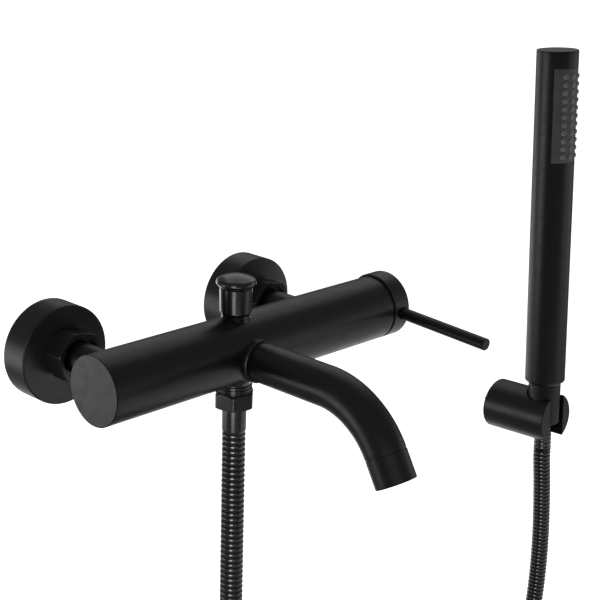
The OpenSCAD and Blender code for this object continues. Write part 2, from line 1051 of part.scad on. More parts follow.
module stick_tube() {
    wall = 1.8;
    ease = 1.6;
    color(matt_black)
        at_stick()
            difference() {
                turned_z([
                    [stick_foot, 0], [stick_foot, stick_r - ease], [stick_foot + ease, stick_r],
                    [stick_top - 1.5, stick_r], [stick_top - 1.5, 0]]);
                bar_z(stick_foot - 1, stick_top, stick_r - wall);
                rotate([0, 0, -stick_turn])
                    stick_sector(10, 20, plate_foot, plate_top, plate_half_angle);
            }
}

module stick_end_cap() {
    ease = 0.6;
    color(matt_black)
        at_stick()
            turned_z([
                [stick_top - 7, 0], [stick_top - 7, stick_r - 1.85], [stick_top - 1.5, stick_r - 1.85],
                [stick_top - 1.5, stick_r - 0.15], [stick_top - 1.2, stick_r], [stick_top - ease, stick_r],
                [stick_top, stick_r - ease], [stick_top, 0]]);
}

module nozzle_plate() {
    column_step = 25.3;
    gap = 0.15;
    color(silicone_grey)
        at_stick()
            rotate([0, 0, -stick_turn]) {
                stick_sector(13.2, stick_r + 0.1, plate_foot + gap, plate_top - gap,
                    plate_half_angle - 0.6);
                for (row = [0 : nozzle_rows - 1])
                    for (column = [0 : nozzle_columns - 1])
                        translate([0, 0, nozzle_middle + (row - (nozzle_rows - 1) / 2) * nozzle_pitch])
                            rotate([0, 0, (column - (nozzle_columns - 1) / 2) * column_step])
                                rotate([90, 0, 0])
                                    translate([0, 0, stick_r - 0.4])
                                        cylinder(h = 1.5, r1 = 2.1, r2 = 1.5, $fn = 24);
            }
}

module water_tray() {
    color(cartridge_grey)
        at_stick()
            difference() {
                bar_z(plate_foot - 5, plate_top + 5, 13.1);
                bar_z(plate_foot - 3, plate_top + 3, 10.5);
                bar_z(plate_foot - 7, plate_foot, 6);
                for (row = [0 : nozzle_rows - 1])
                    translate([0, 0, nozzle_middle + (row - (nozzle_rows - 1) / 2) * nozzle_pitch])
                        rotate([0, 0, -stick_turn])
                            bar_y(-20, 0, 1.6);
            }
}

// Wall holder
module holder_body() {
    ease = 0.7;
    slot_w = 18.6;
    color(matt_black)
        difference() {
            translate([holder_x, 0, -holder_drop])
                difference() {
                    rotate([-stick_lean, 0, 0])
                        turned_y([
                            [-holder_len, 0], [-holder_len, holder_r - ease],
                            [-holder_len + ease, holder_r], [3, holder_r], [3, 0]]);
                    translate([-40, 0, -40])
                        cube([80, 10, 80]);
                    bar_y(-14, 1, 15.05);
                    bar_z(-beyond, -15, 2.05);
                    translate([0, -7, 0])
                        bar_z(-beyond, -10, 2.05);
                }
            at_stick() {
                bar_z(cone_foot - 0.1, cone_top + 5, cone_foot_r + 0.5, cone_top_r + 1.55);
                bar_z(-30, 0, slot_w / 2);
                translate([-slot_w / 2, -40, -30])
                    cube([slot_w, 40, 60]);
            }
        }
}

module holder_boss() {
    color(steel)
        translate([holder_x, 0, -holder_drop])
            difference() {
                bar_y(-12, 0, 15);
                bar_y(-20, 1, 2.3);
                bar_y(-20, -9, 4.6);
                translate([0, -7, 0])
                    bar_z(-16, -13.5, 2.05);
            }
}

// Wall screw through the boss, and the set screw that locks the holder on it from below
module holder_fixings() {
    color(steel)
        translate([holder_x, 0, -holder_drop]) {
            difference() {
                turned_y([
                    [-11.6, 0], [-11.6, 4.3], [-9, 4.3], [-9, 1.9], [0.6, 1.9],
                    [0.6, 2.2], [11, 2.2], [13, 0.5], [13, 0]]);
                bar_y(-12, -10, 1.6);
            }
            translate([0, -7, 0])
                difference() {
                    bar_z(-18.4, -13.5, 2);
                    hex_z(-19, -16, 2);
                }
        }
}

valve_body();
end_plug();
rosette_left();
rosette_right();
rosette_seals();
wall_union_left();
wall_union_right();
union_gaskets();
union_nut_left();
union_nut_right();
inlet_tail_left();
inlet_tail_right();
check_valve_cages();
check_poppet_left();
check_poppet_right();
check_spring_left();
check_spring_right();
cartridge_housing();
cartridge_seals();
fixed_disc();
moving_disc();
disc_driver();
spindle_rotor();
spindle_pin();
spindle();
cartridge_nut();
trim_ring();
handle_cap();
lever_pin();
handle_set_screw();
diverter_bonnet();
diverter_stem();
diverter_plunger();
plunger_seals();
diverter_spring();
knob_barrel();
knob_cap();
spout_flange();
spout_tube();
aerator_housing();
aerator_insert();
outlet_nipple();
hose_washer_lower();
hose_nut();
hose_ferrule();
hose_lower_run();
hose_coil();
hose_upper_run();
hose_tie();
hose_end_fitting();
cone_nut();
hose_washer_upper();
inlet_plug();
stick_tube();
stick_end_cap();
nozzle_plate();
water_tray();
holder_body();
holder_boss();
holder_fixings();
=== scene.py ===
"""Looks of a wall mounted bath mixer, its hose and its hand shower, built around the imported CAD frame."""
import json
import math

import bmesh
import bpy
import numpy as np
from mathutils import Matrix, Vector


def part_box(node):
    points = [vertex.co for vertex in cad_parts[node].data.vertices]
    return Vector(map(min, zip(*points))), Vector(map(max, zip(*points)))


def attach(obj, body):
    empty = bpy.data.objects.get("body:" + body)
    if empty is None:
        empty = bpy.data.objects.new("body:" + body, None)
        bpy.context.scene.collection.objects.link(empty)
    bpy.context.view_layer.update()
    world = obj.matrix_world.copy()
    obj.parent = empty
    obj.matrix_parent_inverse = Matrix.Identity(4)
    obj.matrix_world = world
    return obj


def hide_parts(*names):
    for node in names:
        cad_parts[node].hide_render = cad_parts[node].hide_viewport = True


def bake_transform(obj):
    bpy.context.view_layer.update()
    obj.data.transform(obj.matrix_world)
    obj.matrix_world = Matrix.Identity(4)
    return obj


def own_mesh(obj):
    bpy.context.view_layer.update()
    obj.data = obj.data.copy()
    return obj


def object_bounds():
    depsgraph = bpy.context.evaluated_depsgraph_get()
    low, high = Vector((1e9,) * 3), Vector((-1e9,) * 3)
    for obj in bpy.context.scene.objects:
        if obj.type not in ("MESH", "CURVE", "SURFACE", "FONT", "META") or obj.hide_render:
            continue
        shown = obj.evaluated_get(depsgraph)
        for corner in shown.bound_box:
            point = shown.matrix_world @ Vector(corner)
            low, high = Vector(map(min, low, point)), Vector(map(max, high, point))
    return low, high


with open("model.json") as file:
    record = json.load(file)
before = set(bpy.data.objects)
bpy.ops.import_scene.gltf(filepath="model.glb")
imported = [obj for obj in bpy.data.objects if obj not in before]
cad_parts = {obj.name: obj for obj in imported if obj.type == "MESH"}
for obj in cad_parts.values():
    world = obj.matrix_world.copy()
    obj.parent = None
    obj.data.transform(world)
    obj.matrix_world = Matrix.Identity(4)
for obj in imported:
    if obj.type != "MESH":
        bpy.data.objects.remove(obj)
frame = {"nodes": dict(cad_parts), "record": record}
cad_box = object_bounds()

MM = 0.001
SIDES = 128
FINE_SIDES = 192
X_AXIS, Y_AXIS, Z_AXIS = (1, 0, 0), (0, 1, 0), (0, 0, 1)
TO_ROOM = (0, -1, 0)

# Camera: its place in metres and its angles, in degrees
CAMERA_PLACE = (-0.52443, -0.62431, 0.27143)
CAMERA_AZIMUTH, CAMERA_ELEVATION, CAMERA_ROLL = -46.54, 17.52, 1.78
CAMERA_LENS = 84.28

# Hose route in metres: down from the mixer, one coil, then up to the hand shower
HOSE_D = 0.014
COIL_R = 0.084
COIL_TURNS = 1.25
COIL_MIDDLE = (0.084, -0.0775, -0.352)
LOWER_ROUTE = [
    (0, -.0775, -.0485), (0, -.0775, -.070), (0, -.0775, -.100), (0, -.0775, -.130), (0, -.0775, -.160),
    (0, -.0775, -.190), (0, -.0775, -.220), (0, -.0775, -.250), (0, -.0775, -.280), (0, -.0775, -.310),
    (0, -.0775, -.335), (0, -.0775, -.352)]
UPPER_ROUTE = [
    (.084, -.060, -.436), (.100, -.060, -.436), (.120, -.0596, -.437), (.145, -.0591, -.439),
    (.170, -.0585, -.441), (.195, -.0578, -.4425), (.220, -.057, -.4425), (.245, -.056, -.4408),
    (.270, -.055, -.4365), (.294, -.054, -.4295), (.316, -.053, -.4195), (.336, -.052, -.4055),
    (.353, -.051, -.3875), (.366, -.0502, -.366), (.375, -.0495, -.342), (.380, -.049, -.317),
    (.382, -.0487, -.290), (.382, -.0484, -.263), (.3806, -.0479, -.236), (.3785, -.047, -.208),
    (.377, -.0461, -.1901), (.3769, -.0457, -.1801)]


# ---------------------------------------------------------------- materials

def shader(name):
    """A new node material: its nodes, its links, its surface shader and its object coordinates."""
    material = bpy.data.materials.new(name)
    material.use_nodes = True
    nodes, links = material.node_tree.nodes, material.node_tree.links
    surface = nodes["Principled BSDF"]
    place = nodes.new("ShaderNodeTexCoord").outputs["Object"]
    return material, nodes, links, surface, place


def noise(nodes, links, place, per_mm, detail=2.0, rough=0.5, stretch=None):
    """Noise with the given number of cells in a millimetre."""
    if stretch is not None:
        mapping = nodes.new("ShaderNodeMapping")
        mapping.inputs["Scale"].default_value = stretch
        links.new(place, mapping.inputs["Vector"])
        place = mapping.outputs["Vector"]
    texture = nodes.new("ShaderNodeTexNoise")
    texture.inputs["Scale"].default_value = per_mm / MM
    texture.inputs["Detail"].default_value = detail
    texture.inputs["Roughness"].default_value = rough
    links.new(place, texture.inputs["Vector"])
    return texture.outputs["Fac"]


def remap(nodes, links, value, low, high, start=0.35, end=0.65):
    """A value between start and end, spread over low to high."""
    ramp = nodes.new("ShaderNodeMapRange")
    ramp.inputs["From Min"].default_value = start
    ramp.inputs["From Max"].default_value = end
    ramp.inputs["To Min"].default_value = low
    ramp.inputs["To Max"].default_value = high
    links.new(value, ramp.inputs["Value"])
    return ramp.outputs["Result"]


def two_tones(nodes, links, value, dark, light, start=0.3, end=0.7):
    """A colour that goes from dark to light as value goes from start to end."""
    ramp = nodes.new("ShaderNodeValToRGB")
    ramp.color_ramp.elements[0].position = start
    ramp.color_ramp.elements[0].color = (*dark, 1)
    ramp.color_ramp.elements[1].position = end
    ramp.color_ramp.elements[1].color = (*light, 1)
    links.new(value, ramp.inputs["Fac"])
    return ramp.outputs["Color"]


def bump(nodes, links, surface, value, depth_mm):
    """A bump of the given depth on the surface."""
    node = nodes.new("ShaderNodeBump")
    node.inputs["Strength"].default_value = 1.0
    node.inputs["Distance"].default_value = depth_mm * MM
    links.new(value, node.inputs["Height"])
    links.new(node.outputs["Normal"], surface.inputs["Normal"])


def coated(name, dark, light, roughness, spread, grain_per_mm, grain_depth, coat=0.0, coat_roughness=0.1):
    """Paint or powder coat: cloudy tone, fine grain and a roughness that wanders a little."""
    material, nodes, links, surface, place = shader(name)
    cloud = noise(nodes, links, place, 0.03, detail=4.0)
    grain = noise(nodes, links, place, grain_per_mm, detail=3.0, rough=0.6)
    links.new(two_tones(nodes, links, cloud, dark, light), surface.inputs["Base Color"])
    wander = remap(nodes, links, noise(nodes, links, place, 0.15, detail=3.0), roughness - spread,
                   roughness + spread)
    links.new(wander, surface.inputs["Roughness"])
    bump(nodes, links, surface, grain, grain_depth)
    surface.inputs["Coat Weight"].default_value = coat
    surface.inputs["Coat Roughness"].default_value = coat_roughness
    return material


def metal(name, dark, light, roughness, lines=(1, 1, 14)):
    """Bare machined metal, with fine turning lines squeezed along each axis by the given shares."""
    material, nodes, links, surface, place = shader(name)
    turning = noise(nodes, links, place, 0.4, detail=4.0, stretch=lines)
    links.new(two_tones(nodes, links, turning, dark, light), surface.inputs["Base Color"])
    polish = remap(nodes, links, turning, roughness * 0.8, roughness * 1.25)
    links.new(polish, surface.inputs["Roughness"])
    bump(nodes, links, surface, turning, 0.01)
    surface.inputs["Metallic"].default_value = 1.0
    return material


def moulded(name, dark, light, roughness, depth=0.02):
    """Moulded plastic, rubber or ceramic: a faint mottle and a fine skin."""
    material, nodes, links, surface, place = shader(name)
    mottle = noise(nodes, links, place, 0.12, detail=3.0)
    skin = noise(nodes, links, place, 4.0, detail=2.0)
    links.new(two_tones(nodes, links, mottle, dark, light), surface.inputs["Base Color"])
    links.new(remap(nodes, links, skin, roughness - 0.05, roughness + 0.05), surface.inputs["Roughness"])
    bump(nodes, links, surface, skin, depth)
    return material


def woven(name, dark, light):
    """Woven strap: diagonal bands of yarn, a little warped."""
    material, nodes, links, surface, place = shader(name)
    weave = nodes.new("ShaderNodeTexWave")
    weave.wave_type = "BANDS"
    weave.bands_direction = "DIAGONAL"
    weave.inputs["Scale"].default_value = 0.5 / MM
    weave.inputs["Distortion"].default_value = 1.5
    weave.inputs["Detail"].default_value = 2.0
    links.new(place, weave.inputs["Vector"])
    links.new(two_tones(nodes, links, weave.outputs["Fac"], dark, light), surface.inputs["Base Color"])
    links.new(remap(nodes, links, weave.outputs["Fac"], 0.75, 0.95), surface.inputs["Roughness"])
    bump(nodes, links, surface, weave.outputs["Fac"], 0.25)
    surface.inputs["Sheen Weight"].default_value = 0.3
    return material


MATERIALS = {
    "matt_black": coated("matt black powder coat", (.012, .0119, .0123), (.0165, .0163, .017),
                         roughness=.36, spread=.03, grain_per_mm=3.0, grain_depth=.012),
    "gloss_black": coated("gloss black lacquer", (.006, .006, .0063), (.009, .009, .0095), roughness=.21,
                          spread=.03, grain_per_mm=1.2, grain_depth=.004, coat=0.6, coat_roughness=0.13),
    "black_hose": coated("black wound hose", (.007, .007, .0073), (.012, .012, .0125), roughness=.2,
                         spread=.04, grain_per_mm=2.0, grain_depth=.006, coat=0.5, coat_roughness=0.08),
    "black_strap": woven("black hook and loop strap", (.006, .006, .006), (.03, .03, .03)),
    "black_rubber": moulded("black rubber", (.006, .006, .006), (.010, .010, .010), .6),
    "grey_silicone": moulded("grey silicone", (.15, .153, .158), (.18, .183, .189), .55, depth=.03),
    "grey_plastic": moulded("grey moulded plastic", (.28, .30, .32), (.36, .38, .40), .42),
    "black_plastic": moulded("black moulded plastic", (.012, .012, .012), (.018, .018, .018), .4),
    "raw_brass": metal("machined brass", (.52, .38, .17), (.78, .60, .32), .28, lines=(1, 14, 1)),
    "stainless": metal("machined stainless steel", (.42, .43, .45), (.66, .67, .69), .25),
    "white_ceramic": moulded("lapped ceramic", (.78, .78, .75), (.86, .86, .83), .22, depth=.005),
}
# Lighter grey for the nozzle tips: a painted highlight where the tips catch the light
NOZZLE_HIGHLIGHT_MATERIAL = moulded("grey silicone with painted nozzle highlight", (.34, .345, .355), (.42, .425, .435), .5, depth=.03)


def paint_cad_nodes():
    """Every CAD node takes the material of its slot in the record."""
    for part in frame["record"]["subparts"]:
        node = frame["nodes"][part["node"]]
        material = MATERIALS[part["material_slot"]]
        for i in range(len(node.data.materials)):
            node.data.materials[i] = material


# ---------------------------------------------------------------- meshes

def along(axis, origin=(0, 0, 0)):
    """The place of a piece whose own Z lies along an axis, from an origin in millimetres."""
    z = Vector(axis).normalized()
    x = Vector(X_AXIS if abs(z.x) < 0.9 else Y_AXIS)
    x = (x - z * x.dot(z)).normalized()
    y = z.cross(x)
    return Matrix.Translation(Vector(origin)) @ Matrix((x, y, z)).transposed().to_4x4()


def span(node):
    """Lowest and highest corner of a CAD node, in millimetres."""
    low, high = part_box(node)
    return low / MM, high / MM


def middle(node):
    """Middle of a CAD node's box, in millimetres."""
    low, high = span(node)
    return (low + high) / 2


def rounded(corners, closed, steps=6):
    """The points of an outline of (height, radius, rounding) corners, each corner turned into an arc.
    A support point beside each arc keeps the shading of the flats even."""
    points = []
    count = len(corners)
    for i, (height, radius, ease) in enumerate(corners):
        here = np.array((height, radius), float)
        if ease == 0 or (not closed and i in (0, count - 1)):
            points.append(here)
            continue
        before = np.array(corners[i - 1][:2], float) - here
        after = np.array(corners[(i + 1) % count][:2], float) - here
        len_before, len_after = np.linalg.norm(before), np.linalg.norm(after)
        before, after = before / len_before, after / len_after
        half = math.acos(max(-1.0, min(1.0, float(before @ after)))) / 2
        reach = min(ease / math.tan(half), 0.49 * len_before, 0.49 * len_after)
        ease = reach * math.tan(half)
        centre = here + (before + after) / np.linalg.norm(before + after) * ease / math.sin(half)
        start, end = here + before * reach - centre, here + after * reach - centre
        sweep = math.atan2(start[0] * end[1] - start[1] * end[0], start @ end)
        if len_before > 3 * reach:
            points.append(here + before * 1.4 * reach)
        for k in range(steps + 1):
            c, s = math.cos(sweep * k / steps), math.sin(sweep * k / steps)
            points.append(centre + np.array((c * start[0] - s * start[1], s * start[0] + c * start[1])))
        if len_after > 3 * reach:
            points.append(here + after * 1.4 * reach)
    return np.array(points)


def hexagon(across_flats, turn=0.0):
    """The radius of a hexagon with slightly rounded corners, at an angle in radians."""
    power = 90

    def radius(angle):
        faces = [max(0.0, math.cos(angle - math.radians(turn + 30 + 60 * k))) ** power for k in range(6)]
        return across_flats / 2 * sum(faces) ** (-1 / power)
    return radius


def revolve(corners, closed=False, sides=SIDES, steps=6, limit=None):
    """Vertices and faces of an outline turned about Z. limit gives an outer radius for each angle."""
    outline = rounded(corners, closed, steps)
    rows = len(outline)
    blend_power = 140
    vertices = []
    for k in range(sides):
        angle = 2 * math.pi * k / sides
        edge = limit(angle) if limit else None
        for height, radius in outline:
            if edge and radius > 0.6 * edge:
                radius = (radius ** -blend_power + edge ** -blend_power) ** (-1 / blend_power)
            vertices.append((radius * math.cos(angle), radius * math.sin(angle), height))
    faces = []
    for k in range(sides):
        a, b = k * rows, (k + 1) % sides * rows
        for i in range(rows if closed else rows - 1):
            j = (i + 1) % rows
            faces.append((a + i, b + i, b + j, a + j))
    return vertices, faces


def merged(*meshes):
    """Several (vertices, faces) in one."""
    vertices, faces = [], []
    for some_vertices, some_faces in meshes:
        start = len(vertices)
        vertices.extend(some_vertices)
        faces.extend(tuple(start + i for i in face) for face in some_faces)
    return vertices, faces


def piece(name, shape, slot, body, replaces=(), place=None, sharp=38, cuts=()):
    """A shape in millimetres as a piece of the model: placed, cleaned, shaded, and riding on its body."""
    vertices, faces = shape
    place = place or Matrix.Identity(4)
    mesh = bpy.data.meshes.new(name)
    mesh.from_pydata([place @ Vector(v) * MM for v in vertices], [], faces)
    obj = bpy.data.objects.new(name, mesh)
    bpy.context.scene.collection.objects.link(obj)
    clean(mesh)
    for cut in cuts:
        subtract(obj, cut)
    mesh = obj.data
    mesh.materials.clear()
    mesh.materials.append(MATERIALS[slot])
    mesh.shade_smooth()
    mesh.set_sharp_from_angle(angle=math.radians(sharp))
    if replaces:
        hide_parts(*replaces)
    if body:
        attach(obj, body)
    return obj


def clean(mesh):
    """Joins the vertices at the poles and turns the faces outwards."""
    work = bmesh.new()
    work.from_mesh(mesh)
    bmesh.ops.remove_doubles(work, verts=work.verts, dist=1e-7)
    bmesh.ops.dissolve_degenerate(work, edges=work.edges, dist=1e-8)
    bmesh.ops.recalc_face_normals(work, faces=work.faces)
    work.to_mesh(mesh)
    work.free()


def subtract(obj, shape):
    """Cuts a closed shape, in row millimetres, out of an object."""
    mesh = bpy.data.meshes.new("cutter")
    mesh.from_pydata([Vector(v) * MM for v in shape[0]], [], shape[1])
    clean(mesh)
    cutter = bpy.data.objects.new("cutter", mesh)
    bpy.context.scene.collection.objects.link(cutter)
    modifier = obj.modifiers.new("cut", "BOOLEAN")
    modifier.operation = "DIFFERENCE"
    modifier.solver = "EXACT"
    modifier.object = cutter
    depsgraph = bpy.context.evaluated_depsgraph_get()
    result = bpy.data.meshes.new_from_object(obj.evaluated_get(depsgraph))
    obj.modifiers.clear()
    old = obj.data
    obj.data = result
    bpy.data.meshes.remove(old)
    bpy.data.objects.remove(cutter)
    bpy.data.meshes.remove(mesh)


def placed(shape, place):
    """A shape moved by a matrix, in millimetres."""
    return [tuple(place @ Vector(v)) for v in shape[0]], shape[1]


def shifted(shape, move, chosen):
    """A shape whose chosen vertices are moved, such as a hole whose axis lies beside the outer one."""
    return [tuple(Vector(v) + move) if chosen(v) else v for v in shape[0]], shape[1]


# ---------------------------------------------------------------- camera

def add_camera():
    """The camera at the viewing angle of the picture."""
    azimuth, elevation, roll = map(math.radians, (CAMERA_AZIMUTH, CAMERA_ELEVATION, CAMERA_ROLL))
    back = Vector((math.sin(azimuth) * math.cos(elevation), -math.cos(azimuth) * math.cos(elevation),
                   math.sin(elevation)))
    right = Vector((math.cos(azimuth), math.sin(azimuth), 0))
    up = back.cross(right)
    turned_right = right * math.cos(roll) + up * math.sin(roll)
    turned_up = up * math.cos(roll) - right * math.sin(roll)
    data = bpy.data.cameras.new("camera")
    data.lens = CAMERA_LENS
    data.sensor_width = 36.0
    camera = bpy.data.objects.new("camera", data)
    basis = Matrix((turned_right, turned_up, back)).transposed().to_4x4()
    camera.matrix_world = Matrix.Translation(CAMERA_PLACE) @ basis
    bpy.context.scene.collection.objects.link(camera)
    bpy.context.scene.camera = camera


# ---------------------------------------------------------------- hose

def smooth_line(points, per_span=12):
    """A smooth line through points, as a Catmull-Rom curve."""
    p = np.array(points, float)
    ends = np.vstack([2 * p[0] - p[1], p, 2 * p[-1] - p[-2]])
    line = []
    for a, b, c, d in zip(ends[:-3], ends[1:-2], ends[2:-1], ends[3:]):
        for t in np.arange(per_span) / per_span:
            line.append(0.5 * (2 * b + (c - a) * t + (2 * a - 5 * b + 4 * c - d) * t * t
                               + (3 * b - 3 * c + d - a) * t ** 3))
    return np.array(line + [p[-1]])


def coil_line(steps_per_turn=24):
    """The coil's turns, from its left side going down. Each turn lies a diameter nearer to the wall."""
    steps = int(round(COIL_TURNS * steps_per_turn))
    x, y, z = COIL_MIDDLE
    line = []
    for i in range(steps + 1):
        angle = 2 * math.pi * COIL_TURNS * i / steps
        line.append((x - COIL_R * math.cos(angle), y + HOSE_D * angle / (2 * math.pi),
                     z - COIL_R * math.sin(angle)))
    return line


def resampled(line, gap):
    """Points of a line about a gap apart, and the line's length."""
    steps = np.linalg.norm(np.diff(line, axis=0), axis=1)
    at = np.concatenate([[0], np.cumsum(steps)])
    count = int(round(at[-1] / gap))
    where = np.linspace(0, at[-1], count + 1)
    return np.stack([np.interp(where, at, line[:, i]) for i in range(3)], axis=1), at[-1]


def frames_along(line):
    """Two steady side directions at each point of a line."""
    tangents = np.gradient(line, axis=0)
    tangents /= np.linalg.norm(tangents, axis=1)[:, None]
    side = np.cross(tangents[0], X_AXIS if abs(tangents[0][1]) > 0.9 else Y_AXIS)
    side /= np.linalg.norm(side)
    sides, others = [], []
    for tangent in tangents:
        side = side - tangent * (side @ tangent)
        side /= np.linalg.norm(side)
        sides.append(side)
        others.append(np.cross(tangent, side))
    return np.array(sides), np.array(others)


def swept(line, radii, sides):
    """A closed tube along a line, with a radius at each point, in the line's own units."""
    first, second = frames_along(line)
    angles = 2 * np.pi * np.arange(sides) / sides
    cosines, sines = np.cos(angles)[None, :, None], np.sin(angles)[None, :, None]
    ring = cosines * first[:, None] + sines * second[:, None]
    vertices = (line[:, None] + np.array(radii)[:, None, None] * ring).reshape(-1, 3)
    rows = len(line)
    faces = [(i * sides + k, i * sides + (k + 1) % sides, (i + 1) * sides + (k + 1) % sides,
              (i + 1) * sides + k) for i in range(rows - 1) for k in range(sides)]
    faces.append(tuple(range(sides)))
    faces.append(tuple((rows - 1) * sides + k for k in reversed(range(sides))))
    return [tuple(v) for v in vertices], faces


RING_PITCH = 3.32
RING_OUTER, RING_INNER = 7.0, 5.8
RING_STEPS = 10
HOSE_SIDES = 24


def ring_radius(phase):
    """Radius of the wound hose at a phase of one ring, from 0 to 1: a round rib between two grooves."""
    return RING_INNER + (RING_OUTER - RING_INNER) * math.sqrt(max(0.0, 1 - (2 * phase - 1) ** 2))


def add_hose():
    """The wound hose, in one piece from the mixer's ferrule to the hand shower's fitting."""
    coil = coil_line()
    through = LOWER_ROUTE[:-1] + coil + UPPER_ROUTE[1:]
    centre, length = resampled(smooth_line(through), RING_PITCH * MM / RING_STEPS)
    radii = [ring_radius(i % RING_STEPS / RING_STEPS) * MM for i in range(len(centre))]
    vertices, faces = swept(centre, radii, HOSE_SIDES)
    shape = [(x / MM, y / MM, z / MM) for x, y, z in vertices], faces
    hose = piece("wound_hose", shape, "black_hose", None,
                 replaces=("hose_lower_run", "hose_coil", "hose_upper_run"), sharp=70)
    every_fourth_ring = 4 * RING_STEPS
    path = [tuple(p) for p in centre[::every_fourth_ring]] + [tuple(centre[-1])]
    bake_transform(hose)
    return hose, path, length


def rounded_box_line(half_width, half_height, ease, steps=8):
    """Points round a rectangle with round corners, in order."""
    corners = [(1, 1), (-1, 1), (-1, -1), (1, -1)]
    line = []
    for i, (a, b) in enumerate(corners):
        for k in range(steps + 1):
            turn = math.radians(90 * i + 90 * k / steps)
            line.append((a * (half_width - ease) + ease * math.cos(turn),
                         b * (half_height - ease) + ease * math.sin(turn)))
    return np.array(line)


def add_strap():
    """The hook and loop strap that holds the coil: a flat band round both turns, its end lapped over."""
    centre = middle("hose_tie")
    width, thick, lap = 12.0, 1.1, 16.0
    half_width, half_height, ease = 8.2, 16.9, 6.5
    outward = Vector((-1, 0, -1)).normalized()
    along_hose = Vector((1, 0, -1)).normalized()
    line = rounded_box_line(half_width, half_height, ease)
    side = np.roll(line, -1, axis=0) - np.roll(line, 1, axis=0)
    normal = np.stack([side[:, 1], -side[:, 0]], axis=1)
    normal /= np.linalg.norm(normal, axis=1)[:, None]
    section = [(-0.5, -0.46), (-0.3, -0.5), (0.3, -0.5), (0.5, -0.46),
               (0.5, 0.46), (0.3, 0.5), (-0.3, 0.5), (-0.5, 0.46)]
    cols = len(section)

    def at(p, across):
        return tuple(centre + outward * p[0] + Vector(Y_AXIS) * p[1] + along_hose * across)

    def strip(points, normals, closed, share):
        rows = len(points)
        vertices = [at(p - n * thick * (0.5 - depth), across * width * share)
                    for p, n in zip(points, normals) for depth, across in section]
        faces = [(i * cols + k, (i + 1) % rows * cols + k, (i + 1) % rows * cols + (k + 1) % cols,
                  i * cols + (k + 1) % cols)
                 for i in range(rows if closed else rows - 1) for k in range(cols)]
        if not closed:
            faces += [tuple(range(cols)), tuple((rows - 1) * cols + k for k in reversed(range(cols)))]
        return vertices, faces

    band = strip(line, normal, True, 1.0)
    steps = 8
    flap_x = half_width + 0.55 * thick
    flap_line = np.array([(flap_x, lap / 2 - lap * k / steps) for k in range(steps + 1)])
    flap = strip(flap_line, np.array([(1.0, 0.0)] * (steps + 1)), False, 0.94)
    return piece("coil_strap", merged(band, flap), "black_strap", "mixer", ("hose_tie",), sharp=50)


# ---------------------------------------------------------------- mixer

BODY_LOW, BODY_HIGH = span("valve_body")
BODY_Y = (BODY_LOW.y + BODY_HIGH.y) / 2
BODY_Z = (BODY_LOW.z + BODY_HIGH.z) / 2
BODY_R = (BODY_HIGH.z - BODY_LOW.z) / 2
BODY_LEFT, BODY_RIGHT = span("end_plug")[0].x, BODY_HIGH.x
BODY_PLACE = along(X_AXIS, (0, BODY_Y, BODY_Z))
HANDLE_Z = middle("handle_cap").z


def add_body():
    """The body with its open cartridge end, and the plain disc that closes the other end."""
    disc = 1.6
    seat_floor, seat_r, ring_back, ring_r, lip_r, lip = 85, 14.2, 107, 17.1, 18.5, 1.6
    shell = revolve([
        (BODY_LEFT + disc + .02, 0, 0), (BODY_LEFT + disc + .02, BODY_R, .05),
        (BODY_RIGHT, BODY_R, .45),
        (BODY_RIGHT, lip_r, .15), (BODY_RIGHT - lip, lip_r, 0), (BODY_RIGHT - lip, ring_r, 0),
        (ring_back, ring_r, 0), (ring_back, seat_r, 0), (seat_floor, seat_r, 0), (seat_floor, 0, 0)],
        sides=FINE_SIDES)
    rise = BODY_PLACE.inverted().to_3x3() @ Vector((0, 0, HANDLE_Z - BODY_Z))
    shell = shifted(shell, rise, lambda v: v[2] > seat_floor - 1 and math.hypot(v[0], v[1]) < lip_r + .3)
    piece("mixer_body", shell, "matt_black", "mixer", ("valve_body",), BODY_PLACE)
    piece("body_end_disc", revolve([
        (BODY_LEFT, 0, 0), (BODY_LEFT, BODY_R, .45), (BODY_LEFT + disc, BODY_R, .05),
        (BODY_LEFT + disc, 0, 0)], sides=FINE_SIDES),
        "matt_black", "mixer", ("end_plug",), BODY_PLACE)


def add_inlets():
    """Rosettes and union nuts. A rosette's hole lies on the mixer's axis, just above its own middle."""
    for side in ("left", "right"):
        low, high = span(f"rosette_{side}")
        centre = (low + high) / 2
        outer, depth, wall, hole = (high.x - low.x) / 2, high.y - low.y, 1.6, 11.7
        cup = revolve([
            (-depth, hole, .2), (-depth, outer, .75), (0, outer, .15), (0, outer - wall, 0),
            (wall - depth, outer - wall, 1), (wall - depth, hole, 0)], closed=True, sides=FINE_SIDES)
        place = along(Y_AXIS, (centre.x, high.y, centre.z))
        rise = place.inverted().to_3x3() @ Vector((0, 0, BODY_Z - centre.z))
        cup = shifted(cup, rise, lambda v: math.hypot(v[0], v[1]) < hole + .5)
        piece(f"wall_rosette_{side}", cup, "matt_black", "mixer", (f"rosette_{side}",), place)

        low, high = span(f"union_nut_{side}")
        front, foot = low.y, high.y
        corner, flats = 15.7, 27.0
        nut = revolve([
            (front, 11.7, .25), (front, corner - 1.1, .3), (front + .8, corner, .3),
            (foot - 3, corner, .8), (foot, corner - 1.8, .3), (foot, 11.5, 0), (-27.9, 11.5, 0),
            (-27.9, 9.6, 0), (-29.9, 9.6, .2), (-29.9, 11.7, 0)],
            closed=True, sides=FINE_SIDES, limit=hexagon(flats, 12))
        piece(f"hex_union_{side}", nut, "matt_black", "mixer", (f"union_nut_{side}",),
              along(Y_AXIS, ((low.x + high.x) / 2, 0, BODY_Z)))


LEVER_DROOP, LEVER_SWING = 3.3, 10.0


def in_lever_frame():
    """The handle's own frame: the cartridge's axis, turned so that its -Y runs along the lever pin."""
    return Matrix.Translation((0, BODY_Y, HANDLE_Z)) @ Matrix.Rotation(math.radians(LEVER_DROOP), 4, "X")


